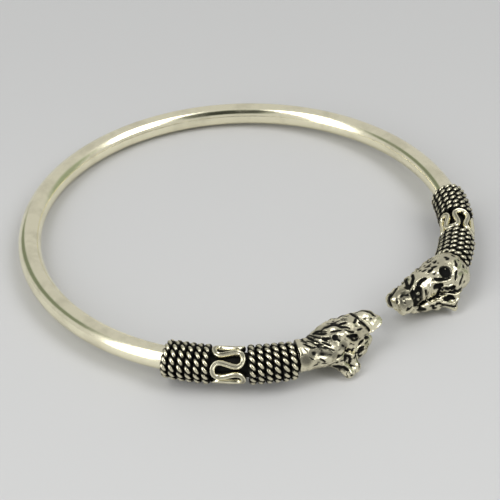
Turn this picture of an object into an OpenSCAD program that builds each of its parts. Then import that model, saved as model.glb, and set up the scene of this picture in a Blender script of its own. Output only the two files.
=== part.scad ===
// Open cuff bangle of round wire. Each end carries a coiled rope wrap, a band of wavy wire,
// a second rope wrap and a cast beast head, and the two heads face each other across the gap.
// Millimetres. The opening faces -Y and the bangle lies on the plane z = 0.

/* [Hoop] */
// Radius of the hoop, to the middle of its wire
hoop_r = 32.5; // [31:0.5:38]
// Diameter of the plain round wire
wire_d = 3.4; // [2.8:0.1:4]
// Angle from the middle of the opening to each end of the wire
open_half = 28.5; // [27.5:0.1:40]
// Lean of the hoop when it lies on the back of its wire and on its heads
lean = 2; // [0.5:0.05:3]

/* [Rope wraps] */
// Diameter of the twisted wire that is wound round the hoop
rope_d = 1.1; // [1.02:0.02:1.3]
// Turns in each wrap
wrap_turns = 6; // [3:1:8]
// Pitch of the turns
wrap_pitch = 1.09; // [1.04:0.01:1.3]

/* [Wavy wire] */
// Length of the hoop that the wavy wire covers
wave_len = 4.75; // [3:0.05:6]
// Waves around the hoop
wave_count = 5; // [4:1:5]
// Width of the wavy wire
wave_w = 0.76; // [0.6:0.02:0.9]
// Height of the wavy wire above the hoop
wave_h = 0.92; // [0.6:0.02:1.1]
// How far each loop of a wave swells past a plain wave
wave_swell = 0.16; // [0.05:0.01:0.16]
// Turn of the left wavy wire about the hoop's wire
left_wave_turn = 13; // [0:1:71]
// Turn of the right wavy wire about the hoop's wire
right_wave_turn = 35; // [0:1:71]

/* [Heads] */
// Distance along the hoop's end from the wire to the middle of the left skull
left_ahead = 3.55; // [2:0.05:4]
// Distance along the hoop's end from the wire to the middle of the right skull
right_ahead = 2.45; // [2:0.05:3.5]
// Shift of the left skull towards the wrist
left_inward = 1.25; // [0:0.05:2]
// Shift of the right skull towards the wrist
right_inward = 0.15; // [0:0.05:2]
// Turn of the left head towards the wrist
left_turn = 25; // [15:1:35]
// Turn of the right head towards the wrist
right_turn = 29; // [15:1:35]
// Radius of the neck where it meets the wire
neck_r = 2.4; // [2.2:0.05:2.6]

/* [Hidden] */

// Seating gaps between neighbouring pieces
seat_gap = 0.04;
joint_gap = 0.05;
wave_front_gap = 0.25;
wire_r = wire_d / 2;
mm_to_deg = 180 / (PI * hoop_r);

// Stations along each end, as angles from the middle of the opening
front_from = open_half + joint_gap * mm_to_deg;
front_to = front_from + wrap_turns * wrap_pitch * mm_to_deg;
wave_mid = front_to + (wave_front_gap + wave_len / 2) * mm_to_deg;
back_from = wave_mid + (wave_len / 2 + joint_gap) * mm_to_deg;

// Height of the hoop's middle, with the back of the wire on the table
lift = wire_r + hoop_r * sin(lean);

// Turns of a wrap stay just clear of each other and share a thin core
turn_r = 0.48;
turn_ring_r = wire_r + rope_d - turn_r;
core_wall = 0.42;
core_inset = 0.2;
end_turn_scale = 0.86;

silver = [0.86, 0.85, 0.80];
dark_silver = [0.55, 0.54, 0.50];

// Hoop lies in its own plane, then leans back onto the table
module rest() {
    translate([0, 0, lift]) rotate([-lean, 0, 0]) children();
}

// Left end pieces are drawn at x < 0, and mirrored for the right end
module on_side(side) {
    mirror([side > 0 ? 1 : 0, 0, 0]) children();
}

// Frame on the left end: +X runs towards the opening and -Y away from the wrist
module at_station(angle) {
    rotate([0, 0, -angle]) translate([0, -hoop_r, 0]) children();
}

// Stretch of bent round tube or wire between two stations of the left end
module bent_tube(from, to, outer_r, inner_r = 0) {
    rotate([0, 0, -90 - to])
        rotate_extrude(angle = to - from, $fn = 180)
            translate([hoop_r, 0])
                difference() {
                    circle(r = outer_r, $fn = 48);
                    if (inner_r > 0) circle(r = inner_r, $fn = 48);
                }
}

module band() {
    color(silver)
        rest()
            rotate([0, 0, -90 + open_half])
                rotate_extrude(angle = 360 - 2 * open_half, $fn = 180)
                    translate([hoop_r, 0]) circle(r = wire_r, $fn = 48);
}

// One closed turn of the wrap, across the wire
module wrap_turn(size) {
    rotate([0, 90, 0])
        rotate_extrude($fn = 64)
            translate([turn_ring_r - turn_r * (1 - size), 0]) circle(r = turn_r * size, $fn = 24);
}

// A wrap tapers at the turn that faces the plain wire or the head
module rope_wrap(from, tapered_turn) {
    step = wrap_pitch * mm_to_deg;
    bent_tube(from + step * core_inset, from + step * (wrap_turns - core_inset),
              wire_r + core_wall, wire_r + seat_gap);
    for (i = [0 : wrap_turns - 1])
        at_station(from + step * (i + 0.5)) wrap_turn(i == tapered_turn ? end_turn_scale : 1);
}

module front_wrap(side) {
    color(dark_silver) rest() on_side(side) rope_wrap(front_from, 0);
}

module back_wrap(side) {
    color(dark_silver) rest() on_side(side) rope_wrap(back_from, wrap_turns - 1);
}

// Course of the wavy wire on a straight tube: along it, and the angle around it from the top
wave_reach = (wave_len - wave_w) / 2;
wave_mid_r = wire_r + seat_gap + wave_h / 2;
function wave_along(t) = wave_reach * sin(360 * t);
function wave_around(t, turn) = turn + 360 / wave_count * (t - wave_swell * sin(720 * t));
function wave_outward(t, turn) = [0, -sin(wave_around(t, turn)), cos(wave_around(t, turn))];
function wave_point(t, turn) = [wave_along(t), 0, 0] + wave_mid_r * wave_outward(t, turn);

// Corner of the wire's section: angle 0 is across the wire, 90 is away from the tube
wave_nudge = 0.002;
function unit(v) = v / norm(v);
function wave_corner(t, turn, angle) =
    let (run = unit(wave_point(t + wave_nudge, turn) - wave_point(t - wave_nudge, turn)),
         outward = wave_outward(t, turn),
         across = unit(cross(run, outward)))
    wave_point(t, turn) + across * cos(angle) * wave_w / 2 + outward * sin(angle) * wave_h / 2;

// Bends a point of the straight tube round the hoop
function bend(p) =
    let (a = p.x * mm_to_deg, r = hoop_r - p.y) [r * sin(a), hoop_r - r * cos(a), p.z];

wave_steps = 20;
wave_sides = 6;
module wave_wire(side, turn) {
    rings = wave_count * wave_steps;
    points = [for (i = [0 : rings - 1], k = [0 : wave_sides - 1])
              bend(wave_corner(i / wave_steps, turn, 90 + 360 * k / wave_sides))];
    faces = [for (i = [0 : rings - 1], k = [0 : wave_sides - 1])
             let (j = (i + 1) % rings, m = (k + 1) % wave_sides)
             [i * wave_sides + k, i * wave_sides + m, j * wave_sides + m, j * wave_sides + k]];
    color(silver)
        rest() on_side(side)
            at_station(wave_mid) polyhedron(points, faces, convexity = 8);
}

// Ball of the head, given as [along, outward, up, radius]; cheek is 1 or -1
module knob(k, cheek = 1, sides = 16) {
    translate([k[0], -k[1] * cheek, k[2]]) sphere(r = k[3], $fn = sides);
}

// One smooth form round a row of balls
module lump(knobs, cheek = 1, sides = 16) {
    hull() for (k = knobs) knob(k, cheek, sides);
}

// The same form on both cheeks
module lump_pair(knobs, sides = 16) {
    for (cheek = [1, -1]) lump(knobs, cheek, sides);
}

// One form that spans both cheeks
module lump_across(knobs) {
    hull() for (cheek = [1, -1], k = knobs) knob(k, cheek);
}

// The two castings differ a little, so some of their sizes are given as [left, right]
function of_side(side, pair) = pair[side < 0 ? 0 : 1];

// Main forms of the head, with the middle of the skull near the origin
skull_at = [[0.8, -0.05, 0.05], [0.5, 0.25, 0.15]];
skull_radii = [[3.5, 2.75, 2.45], [3.6, 3.2, 2.8]];
nape = [[-0.9, -0.1, 0.1, 2.3], [-0.9, -0.4, 0.25, 2.6]];
cheek_back = [[-1.2, 0.1, -0.2, 2.0], [-1.6, 0.85, -0.45, 1.9]];
snout = [[2.0, -0.1, 0.6, 2.45], [6.2, -0.1, 0.85, 1.95]];
upper_lip = [[7.5, 0.8, 0.6, 1.4], [9.9, 0.8, 0.5, 1.1]];
lip_edge = [[7.9, 1.2, -0.4, 0.8], [9.9, 1.1, -0.35, 0.75]];
nose = [[8.2, 0, 1.4, 1.1], [10.4, 0, 0.9, 0.85]];
jaw_back = [[[1.4, 1.9, -1.2, 1.15], [3.6, 2.0, -2.0, 1.15]],
            [[0.6, 1.9, -1.3, 1.3], [3.6, 1.8, -2.0, 0.95]]];
jaw_front = [[[3.6, 2.0, -2.0, 1.15], [6.2, 1.6, -1.95, 1.0], [8.2, 0.9, -1.8, 0.75]],
             [[3.6, 1.8, -2.0, 0.95], [7.4, 0.9, -1.7, 0.65]]];
mouth_back = [[4.2, 0, -1.5, 0.35], [7.0, 0, -1.3, 0.6]];
mouth_front = [mouth_back[1], [11.6, 0, -2.2, 1.1]];
mouth_side = [[6.4, 2.5, 1.4, 0.35], [6.9, 2.6, 0.0, 0.8]];
mouth_corner = [mouth_side[1], [6.6, 2.3, -1.0, 0.6]];

// Cheek that shuts the side of the left head's mouth
shut_cheek = [[4.2, 1.4, -0.5, 0.9], [6.6, 1.25, -0.6, 0.8], [7.5, 1.1, -0.7, 0.6]];

// Tuft of hair at the back of each jaw: on the outer cheek, then on the cheek at the wrist
left_tuft = [[1.5, 2.1, -1.2, 0.95], [3.4, 2.3, -1.5, 1.0],
             [3.7, 3.45, -2.96, 0.76], [2.4, 3.7, -3.0, 0.72]];
right_tuft = [[0.6, 2.1, -1.1, 1.2], [3.0, 2.2, -1.5, 1.0], [1.8, 3.6, -2.65, 0.5]];
right_inner_tuft = [right_tuft[0], right_tuft[1], [2.1, 3.5, -3.15, 0.6]];
tufts = [[left_tuft, left_tuft], [right_tuft, right_inner_tuft]];

// Planes that the muzzle is dressed to, each a point and the turn and pitch of its normal
muzzle_planes = [[[10.9, 1.7, 0, 32, -6], [8.0, 2.0, 0.4, -40, 75]],
                 [[10.7, 1.7, 0, -9, 6]]];
dressing_block = 16;

module dress(plane) {
    translate([plane[0], -plane[1], plane[2]])
        rotate([0, plane[4], plane[3]])
            translate([0, -dressing_block / 2, -dressing_block / 2]) cube(dressing_block);
}

module skull(side) {
    translate(of_side(side, skull_at))
        scale(of_side(side, skull_radii)) sphere(r = 1, $fn = 28);
    knob(of_side(side, cheek_back), 1, 24);
}

module muzzle(side) {
    difference() {
        union() {
            lump(snout, 1, 24);
            lump_across(upper_lip);
            lump_pair(lip_edge);
            lump(nose);
        }
        for (plane = of_side(side, muzzle_planes)) dress(plane);
    }
}

// The head rests on the tufts at the back of its jaws
module jaw(side) {
    lump_across(of_side(side, jaw_back));
    lump_across(of_side(side, jaw_front));
    lump(of_side(side, tufts)[0], 1);
    lump(of_side(side, tufts)[1], -1);
}

module mouth_gap() {
    lump(mouth_back);
    lump(mouth_front);
    lump_pair(mouth_side);
    lump_pair(mouth_corner);
}

// Half height and half width of the head at a distance along it
crown = [[[-3, 2.1], [-1, 2.35], [1, 2.55], [3, 2.9], [5, 2.8], [7, 2.6], [9, 2.25]],
         [[-3, 2.3], [-1, 2.85], [1, 3.0], [3, 2.95], [5, 2.8], [7, 2.6], [9, 2.25]]];
cheek = [[[-3, 2.1], [-1, 2.4], [1, 2.7], [3, 2.35], [5, 1.9], [7, 1.8], [9, 2.0]],
         [[-3, 2.4], [-1, 2.8], [1, 2.9], [3, 2.4], [5, 1.9], [7, 1.8], [9, 2.0]]];
function crown_r(side, along) = lookup(along, of_side(side, crown));
function cheek_r(side, along) = lookup(along, of_side(side, cheek));

// Ball on the head's surface, at an angle from the crown towards the cheek, sunk by part of r
rib_sink = 0.7;
function on_head(side, along, around, r) =
    let (up = cos(around) / crown_r(side, along),
         outward = sin(around) / cheek_r(side, along),
         reach = 1 / norm([up, outward]) - r * rib_sink)
    [along, reach * sin(around), reach * cos(around), r];

// Raised cast relief: start and end of each rib, as [along, around, radius]
brow_rib = [[1.0, 22, 0.8], [4.0, 30, 0.6]];
bridge_rib = [[4.6, 0, 0.75], [8.2, 0, 0.6]];
lip_rib = [[5.0, 26, 0.6], [7.1, 18, 0.55]];
cheek_rib = [[4.6, 66, 0.6], [6.2, 46, 0.5]];
lash_rib = [[0.8, 74, 0.6], [3.8, 80, 0.5]];
mane_angles = [16, 40, 64, 90];
mane_ribs = [for (angle = mane_angles) [[-2.2, angle, 0.65], [0.6, angle - 6, 0.5]]];
teeth = [[6.6, 48, 0.4], [7.5, 76, 0.4]];
relief_sides = 8;

module relief(side) {
    for (rib = concat([brow_rib, bridge_rib, lip_rib, cheek_rib, lash_rib], mane_ribs))
        lump_pair([for (end = rib) on_head(side, end[0], end[1], end[2])], relief_sides);
}

eye_socket = [[5.1, 2.0, 1.2, 0.75], [2.6, 2.0, 1.85, 0.95]];
eye_ball = [[5.1, 1.7, 1.05, 0.6], [2.6, 1.7, 1.6, 0.75]];
nostril = [11.1, 0.4, 1.0, 0.3];

// Head along its own axis
module beast(side) {
    difference() {
        union() {
            skull(side);
            muzzle(side);
            jaw(side);
            relief(side);
        }
        mouth_gap();
        lump_pair([of_side(side, eye_socket)]);
        lump_pair([nostril], relief_sides);
    }
    lump_pair([of_side(side, eye_ball)]);
    if (side < 0) lump_pair(shut_cheek);
    for (tooth = teeth) lump_pair([on_head(side, tooth[0], tooth[1], tooth[2])], relief_sides);
}

// Short collar where the neck meets the wire, a little off the wire's middle on the left,
// and the block that trims it square
collar_len = 0.5;
collar_shift = [[0, 0.3, 0.4], [0, 0, 0]];
trim = [4, 10, 10];

// Cast head; the neck runs from the end of the wire into the skull
module head(side, ahead, inward, turn) {
    color(silver)
        rest() on_side(side) at_station(open_half)
            difference() {
                union() {
                    hull() {
                        translate([joint_gap, 0, 0] + of_side(side, collar_shift)) rotate([0, 90, 0])
                            cylinder(r = neck_r, h = collar_len, $fn = 32);
                        translate([ahead, inward, 0]) rotate([0, 0, turn])
                            knob(of_side(side, nape), 1, 28);
                    }
                    translate([ahead, inward, 0]) rotate([0, 0, turn]) beast(side);
                }
                translate([joint_gap - trim.x, -trim.y / 2, -trim.z / 2]) cube(trim);
            }
}

band();
back_wrap(-1);  // left_back_wrap
wave_wire(-1, left_wave_turn);  // left_wave_wire
front_wrap(-1);  // left_front_wrap
head(-1, left_ahead, left_inward, left_turn);  // left_head
back_wrap(1);  // right_back_wrap
wave_wire(1, right_wave_turn);  // right_wave_wire
front_wrap(1);  // right_front_wrap
head(1, right_ahead, right_inward, right_turn);  // right_head
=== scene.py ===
"""Looks of an open silver cuff bangle: polished hoop, rope wraps, wavy wires and two cast beast heads.

Everything is in metres on the table's plane, except the carving of the heads, which is in millimetres
in the head's own frame: along the snout, outward from the wrist, and up.
"""

from math import ceil, cos, hypot, pi, radians, sin, tan

import bpy
import numpy as np
import openvdb
from bpy.props import FloatProperty, FloatVectorProperty, IntProperty, PointerProperty
from mathutils import Matrix, Vector


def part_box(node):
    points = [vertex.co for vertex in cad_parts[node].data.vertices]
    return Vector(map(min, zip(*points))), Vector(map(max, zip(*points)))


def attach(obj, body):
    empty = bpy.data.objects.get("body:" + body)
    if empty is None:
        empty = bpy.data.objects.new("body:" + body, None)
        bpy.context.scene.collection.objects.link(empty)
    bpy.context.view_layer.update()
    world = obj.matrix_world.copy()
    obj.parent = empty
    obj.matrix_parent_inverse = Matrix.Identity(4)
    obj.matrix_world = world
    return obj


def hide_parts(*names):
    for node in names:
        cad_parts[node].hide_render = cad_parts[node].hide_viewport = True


bl_info = {
    "name": "Open Cuff Bangle",
    "version": (1, 0, 0),
    "blender": (4, 5, 0),
    "location": "3D Viewport > Sidebar > Bangle",
    "description": "Builds the looks of an open silver cuff with rope wraps, wavy wires and beast heads",
    "category": "Add Mesh",
}

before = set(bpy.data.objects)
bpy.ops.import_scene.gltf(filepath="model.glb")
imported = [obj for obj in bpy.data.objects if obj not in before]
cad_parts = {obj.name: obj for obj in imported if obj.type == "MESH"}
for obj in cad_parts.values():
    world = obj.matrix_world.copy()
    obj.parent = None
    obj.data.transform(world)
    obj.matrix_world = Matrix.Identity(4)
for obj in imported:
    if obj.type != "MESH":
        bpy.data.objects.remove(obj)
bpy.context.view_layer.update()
MM = 0.001

# The two ends of the hoop, by the sign of x on their side
SIDES = {"left": -1, "right": 1}

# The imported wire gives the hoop's own sizes
BAND_LOW, BAND_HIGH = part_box("band")
WIRE_RADIUS = 1.7 * MM
HOOP_RADIUS = (BAND_HIGH.x - BAND_LOW.x) / 2 - WIRE_RADIUS


def length_property(name, description, default):
    """Property that holds a size."""
    return FloatProperty(name=name, description=description, default=default, unit="LENGTH")


def angle_property(name, description, degrees):
    """Property that holds an angle."""
    return FloatProperty(name=name, description=description, default=radians(degrees),
                         subtype="ANGLE")


def colour_property(name, description, default):
    """Property that holds a colour."""
    return FloatVectorProperty(name=name, description=description, default=default, subtype="COLOR",
                               size=4)


class BangleHoop(bpy.types.PropertyGroup):
    hoop_radius: length_property("Hoop Radius", "Radius to the middle of the wire", HOOP_RADIUS)
    wire_radius: length_property("Wire Radius", "Radius of the plain round wire", WIRE_RADIUS)
    open_half: angle_property("Opening", "Angle from the middle of the opening to the wire's end", 28.5)
    lean: angle_property("Lean", "Lean of the hoop as it lies on the table", 2)


class BangleWraps(bpy.types.PropertyGroup):
    turns: IntProperty(name="Turns", description="Turns in each wrap", default=6, min=1)
    pitch: length_property("Pitch", "Distance between the turns", 1.09 * MM)
    rope_diameter: length_property("Rope Diameter", "Diameter of the twisted wire", 1.1 * MM)
    grains: IntProperty(
        name="Grains", description="Strands crossed in each turn, an odd number", default=15, min=3)
    front_from: angle_property("Front Station", "Angle at which the wrap beside the head starts", 28.59)
    back_from: angle_property("Back Station", "Angle at which the wrap beside the plain wire starts", 49.02)
    end_scale: FloatProperty(
        name="End Turn", description="Size of the outermost turn against the others",
        default=0.9, min=0.5, max=1)
    right_end_scale: FloatProperty(
        name="Right End Turn", description="Size of the turn beside the right head against the others",
        default=0.86, min=0.5, max=1)


class BangleWaves(bpy.types.PropertyGroup):
    count: IntProperty(name="Waves", description="Waves around the wire", default=5, min=2)
    length: length_property("Length", "Stretch of the hoop that the wavy wire covers", 4.75 * MM)
    width: length_property("Width", "Width of the wavy wire", 0.76 * MM)
    height: length_property("Height", "Height of the wavy wire", 0.92 * MM)
    seat: length_property("Seat", "Gap between the plain wire and the wavy wire", 0.04 * MM)
    groove: FloatProperty(
        name="Groove", description="Depth of the groove as a share of half the height",
        default=0.42, min=0, max=1)
    swell: FloatProperty(
        name="Swell", description="How far each loop swells past a plain wave", default=0.18)
    stretch: FloatProperty(
        name="Stretch", description="How far the loops on the upper side stretch", default=0.12)
    station: angle_property("Station", "Angle from the opening to the middle of the wavy wire", 44.74)
    left_turn: angle_property("Left Turn", "Turn of the left wavy wire about the hoop's wire", 13)
    right_turn: angle_property("Right Turn", "Turn of the right wavy wire about the hoop's wire", 35)


class BangleHeads(bpy.types.PropertyGroup):
    left_ahead: length_property("Left Ahead", "Middle of the left skull beyond the wire's end", 3.55 * MM)
    right_ahead: length_property("Right Ahead", "Middle of the right skull beyond the wire's end", 2.45 * MM)
    left_inward: length_property("Left Inward", "Shift of the left skull towards the wrist", 1.25 * MM)
    right_inward: length_property("Right Inward", "Shift of the right skull towards the wrist", 0.15 * MM)
    left_turn: angle_property("Left Head Turn", "Turn of the left head towards the wrist", 25)
    right_turn: angle_property("Right Head Turn", "Turn of the right head towards the wrist", 29)
    clay_step: length_property("Carving Step", "Finest step of the carving", 0.08 * MM)


class BangleFinish(bpy.types.PropertyGroup):
    silver: colour_property("Silver", "Colour of polished silver", (0.98, 0.93, 0.7, 1))
    tarnish: colour_property("Tarnish", "Colour of lightly tarnished silver", (0.5, 0.46, 0.33, 1))
    oxide: colour_property("Oxide", "Colour of the blackened recesses", (0.003, 0.003, 0.002, 1))


class BangleStage(bpy.types.PropertyGroup):
    camera_place: FloatVectorProperty(
        name="Camera Place", description="Where the camera stands", subtype="TRANSLATION",
        default=(-0.13219, -0.15100, 0.15568))
    camera_aim: FloatVectorProperty(
        name="Camera Aim", description="Point on the table that the camera looks at",
        subtype="TRANSLATION", default=(-0.00075, -0.00241, 0))
    lens: FloatProperty(
        name="Lens", description="Focal length of the camera in millimetres", default=118.9)
    floor_colour: colour_property("Floor", "Colour of the table", (0.62, 0.62, 0.62, 1))
    # painted shade: the table's far side is darker than its near side
    far_shade: FloatProperty(
        name="Far Share", description="Brightness of the table's far side against the near side",
        default=0.87, min=0, max=1)


class Value:
    """Output socket of a node, so that an expression on it adds the nodes that work it out."""

    def __init__(self, graph, socket):
        self.graph = graph
        self.socket = socket

    def __add__(self, other):
        return self.graph.math("ADD", self, other)

    __radd__ = __add__

    def __sub__(self, other):
        return self.graph.math("SUBTRACT", self, other)

    def __rsub__(self, other):
        return self.graph.math("SUBTRACT", other, self)

    def __mul__(self, other):
        return self.graph.math("MULTIPLY", self, other)

    __rmul__ = __mul__

    def __truediv__(self, other):
        return self.graph.math("DIVIDE", self, other)

    def __rtruediv__(self, other):
        return self.graph.math("DIVIDE", other, self)

    def __pow__(self, other):
        return self.graph.math("POWER", self, other)

    def __rpow__(self, other):
        return self.graph.math("POWER", other, self)


class Graph:
    """Node tree, for a material, the world or geometry."""

    def __init__(self, tree):
        self.tree = tree
        self.tree.nodes.clear()

    def node(self, kind, settings=None, sockets=None):
        """Adds a node: its settings first, then the values or links of its sockets."""
        made = self.tree.nodes.new(kind)
        for name, value in (settings or {}).items():
            setattr(made, name, value)
        for name, value in (sockets or {}).items():
            self.feed(made.inputs[name], value)
        return made

    def feed(self, socket, value):
        if isinstance(value, Value):
            self.tree.links.new(value.socket, socket)
        else:
            socket.default_value = value

    def out(self, kind, settings=None, sockets=None, socket=0):
        """Adds a node and gives one of its outputs."""
        return Value(self, self.node(kind, settings, sockets).outputs[socket])

    def math(self, operation, *values, clamp=False):
        return self.out("ShaderNodeMath", {"operation": operation, "use_clamp": clamp},
                        dict(enumerate(values)))

    def sine(self, angle):
        return self.math("SINE", angle)

    def cosine(self, angle):
        return self.math("COSINE", angle)

    def clamp(self, value):
        return self.math("ADD", value, 0, clamp=True)

    def ramp(self, value, low, high):
        """0 below low, 1 above high and smooth between them."""
        return self.out("ShaderNodeMapRange", {"interpolation_type": "SMOOTHSTEP"},
                        {"Value": value, "From Min": low, "From Max": high})

    def vector(self, x, y, z):
        return self.out("ShaderNodeCombineXYZ", None, {0: x, 1: y, 2: z})

    def vector_math(self, operation, *values):
        return self.out("ShaderNodeVectorMath", {"operation": operation}, dict(enumerate(values)))

    def measure(self, operation, *vectors):
        """A number worked out from vectors, such as a distance."""
        return self.out("ShaderNodeVectorMath", {"operation": operation},
                        dict(enumerate(vectors)), "Value")

    def mix_colour(self, share, low, high):
        """Mixes two colours, whose sockets are the seventh and eighth of the node."""
        return self.out("ShaderNodeMix", {"data_type": "RGBA"}, {0: share, 6: low, 7: high}, 2)

    def noise(self, place, scale, detail):
        return self.out("ShaderNodeTexNoise", None, {"Vector": place, "Scale": scale,
                                                     "Detail": detail, "Roughness": 0.55})

    def principled(self, **sockets):
        """Principled shader, whose sockets are given with _ for each space."""
        named = {name.replace("_", " "): value for name, value in sockets.items()}
        return self.out("ShaderNodeBsdfPrincipled", None, named)

    def circle(self, points, radius):
        return self.out("GeometryNodeCurvePrimitiveCircle", {"mode": "RADIUS"},
                        {"Resolution": points, "Radius": radius})

    def store(self, geometry, name, value, kind="FLOAT"):
        """Geometry whose points keep a value under a name."""
        return self.out("GeometryNodeStoreNamedAttribute", {"data_type": kind, "domain": "POINT"},
                        {"Geometry": geometry, "Name": name, "Value": value})

    def stored(self, name, kind="FLOAT"):
        return self.out("GeometryNodeInputNamedAttribute", {"data_type": kind}, {"Name": name})

    def move(self, geometry, place):
        return self.out("GeometryNodeSetPosition", None, {"Geometry": geometry, "Position": place})

    def sweep(self, curve, outline):
        return self.out("GeometryNodeCurveToMesh", None, {"Curve": curve, "Profile Curve": outline})


# Where things are on the bangle


def settings():
    """The scene, which holds the property groups."""
    return bpy.context.scene


def hoop_matrix():
    """The hoop's own plane, leaned back onto the table."""
    hoop = settings().bangle_hoop
    lift = hoop.wire_radius + hoop.hoop_radius * sin(hoop.lean)
    return Matrix.Translation((0, 0, lift)) @ Matrix.Rotation(-hoop.lean, 4, "X")


def station_matrix(side, angle):
    """Frame at a station of one end: +X towards the opening, -Y away from the wrist, +Z up."""
    hoop = settings().bangle_hoop
    mirror = Matrix.Scale(-1, 4, (1, 0, 0)) if side > 0 else Matrix.Identity(4)
    turned = Matrix.Rotation(-angle, 4, "Z")
    return hoop_matrix() @ mirror @ turned @ Matrix.Translation((0, -hoop.hoop_radius, 0))


def head_matrix(side):
    """A head's own frame, in millimetres: along the snout, outward, up."""
    heads = settings().bangle_heads
    end = "left" if side < 0 else "right"
    ahead, inward, turn = (getattr(heads, f"{end}_{name}") for name in ("ahead", "inward", "turn"))
    own = Matrix.Translation((ahead, inward, 0)) @ Matrix.Rotation(turn, 4, "Z")
    flip = Matrix.Diagonal((MM, -MM, MM, 1))
    return station_matrix(side, settings().bangle_hoop.open_half) @ own @ flip


def dress(mesh, material):
    """Gives a mesh one material in place of those that it has."""
    mesh.materials.clear()
    mesh.materials.append(material)


def finish_piece(piece, node):
    """Puts a finished piece in the CAD node's place."""
    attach(piece, "root")
    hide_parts(node)


def new_object(name, mesh, material):
    dress(mesh, material)
    piece = bpy.data.objects.new(name, mesh)
    bpy.context.scene.collection.objects.link(piece)
    return piece


# Finishes


def new_material(name):
    material = bpy.data.materials.get(name) or bpy.data.materials.new(name)
    material.use_nodes = True
    return material, Graph(material.node_tree)


# Roughness, share of patina, share of tarnish in the dull clouds and depth of the bumps
POLISHED = {"roughness": 0.13, "patina": 0.0, "dull": 0.3, "bump_depth": 0.012 * MM}
TWISTED = {"roughness": 0.2, "patina": 0.5, "dull": 0.2, "bump_depth": 0.01 * MM}
BENT = {"roughness": 0.18, "patina": 0.15, "dull": 0.3, "bump_depth": 0.01 * MM}
CAST = {"roughness": 0.22, "patina": 0.42, "dull": 0.35, "bump_depth": 0.03 * MM}

# Patterns on the silver, in waves per metre, and what they add to its roughness
CLOUD_SCALE = 260.0
CLOUD_EDGE = (0.42, 0.72)
CLOUD_ROUGHNESS = 0.08
WEAR_SCALE = 2400.0
WEAR_ROUGHNESS = 0.06
BRUSH_SCALE = 700.0

# Roughness and gloss of the black
BLACK_ROUGHNESS = 0.7
BLACK_GLOSS = 0.15

# Edge of the black on the plain wire, as angles past the end of the back wrap
BLACK_EDGE = (radians(-0.3), radians(0.2))


def silver_surface(graph, oxide, roughness, patina, dull, bump_depth, bump_height=None):
    """Silver that is black where oxide is 1, has a patina where it is 0 and is bright at -1."""
    look = settings().bangle_finish
    place = graph.out("ShaderNodeTexCoord", socket="Object")
    cloud = graph.noise(place, CLOUD_SCALE, 3.0)
    fine = graph.noise(place, WEAR_SCALE, 2.0)
    stain = graph.ramp(cloud, *CLOUD_EDGE)
    film = stain * dull + (graph.math("MINIMUM", oxide, 0) + 1) * patina
    bright = graph.mix_colour(film, tuple(look.silver), tuple(look.tarnish))
    bump = graph.out("ShaderNodeBump", None,
                     {"Strength": 1.0, "Distance": bump_depth,
                      "Height": fine if bump_height is None else bump_height})
    silver = graph.principled(
        Base_Color=bright, Metallic=1.0, Normal=bump,
        Roughness=roughness + stain * CLOUD_ROUGHNESS + fine * WEAR_ROUGHNESS)
    black = graph.principled(Base_Color=tuple(look.oxide), Roughness=BLACK_ROUGHNESS,
                             Specular_IOR_Level=BLACK_GLOSS)
    both = graph.out("ShaderNodeMixShader", None,
                     {0: graph.math("MAXIMUM", oxide, 0), 1: silver, 2: black})
    graph.node("ShaderNodeOutputMaterial", None, {"Surface": both})


def polished_silver():
    """Plain round wire: polished and faintly brushed, and black from under its wraps to the end."""
    material, graph = new_material("polished_silver")
    hoop, wraps = settings().bangle_hoop, settings().bangle_wraps
    place = graph.out("ShaderNodeTexCoord", socket="Object")
    parts = graph.node("ShaderNodeSeparateXYZ", None, {0: place})
    x, y = (Value(graph, parts.outputs[axis]) for axis in ("X", "Y"))
    station = graph.math("ARCTAN2", graph.math("ABSOLUTE", x), y * -1)
    wrap_end = wraps.back_from + wraps.turns * wraps.pitch / hoop.hoop_radius
    oxide = 1 - graph.ramp(station, *(wrap_end + past for past in BLACK_EDGE))
    silver_surface(graph, oxide, **POLISHED, bump_height=graph.noise(place, BRUSH_SCALE, 4.0))
    return material


def worn_silver(name, finish):
    """Silver whose recesses are blackened, as the oxide attribute of the piece says."""
    material, graph = new_material(name)
    oxide = graph.out("ShaderNodeAttribute", {"attribute_name": "oxide"}, socket="Fac")
    silver_surface(graph, oxide, **finish)
    return material


# Geometry Nodes: closed wires that follow a rule on the hoop


def nodes_piece(name, build, inputs, material):
    """Runs a geometry tree with its inputs and gives the result as a plain mesh object."""
    tree = bpy.data.node_groups.new(name, "GeometryNodeTree")
    graph = Graph(tree)
    tree.interface.new_socket("Geometry", in_out="OUTPUT", socket_type="NodeSocketGeometry")
    for label, value in inputs.items():
        kind = "NodeSocketInt" if isinstance(value, int) else "NodeSocketFloat"
        tree.interface.new_socket(label, in_out="INPUT", socket_type=kind)
    group_in = graph.node("NodeGroupInput")
    given = {label: Value(graph, group_in.outputs[label]) for label in inputs}
    geometry = build(graph, given)
    realized = graph.out("GeometryNodeRealizeInstances", None, {0: geometry})
    dressed = graph.out("GeometryNodeSetMaterial", None, {"Geometry": realized, "Material": material})
    graph.node("NodeGroupOutput", None, {0: dressed})
    holder = bpy.data.objects.new(name + "_holder", bpy.data.meshes.new(name + "_holder"))
    bpy.context.scene.collection.objects.link(holder)
    modifier = holder.modifiers.new(name, "NODES")
    modifier.node_group = tree
    for item in tree.interface.items_tree:
        if item.in_out == "INPUT":
            modifier[item.identifier] = inputs[item.name]
    depsgraph = bpy.context.evaluated_depsgraph_get()
    mesh = bpy.data.meshes.new_from_object(holder.evaluated_get(depsgraph), depsgraph=depsgraph)
    mesh.name = name
    holder.modifiers.remove(modifier)
    bpy.data.objects.remove(holder)
    mesh.shade_smooth()
    return new_object(name, mesh, material)


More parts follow.
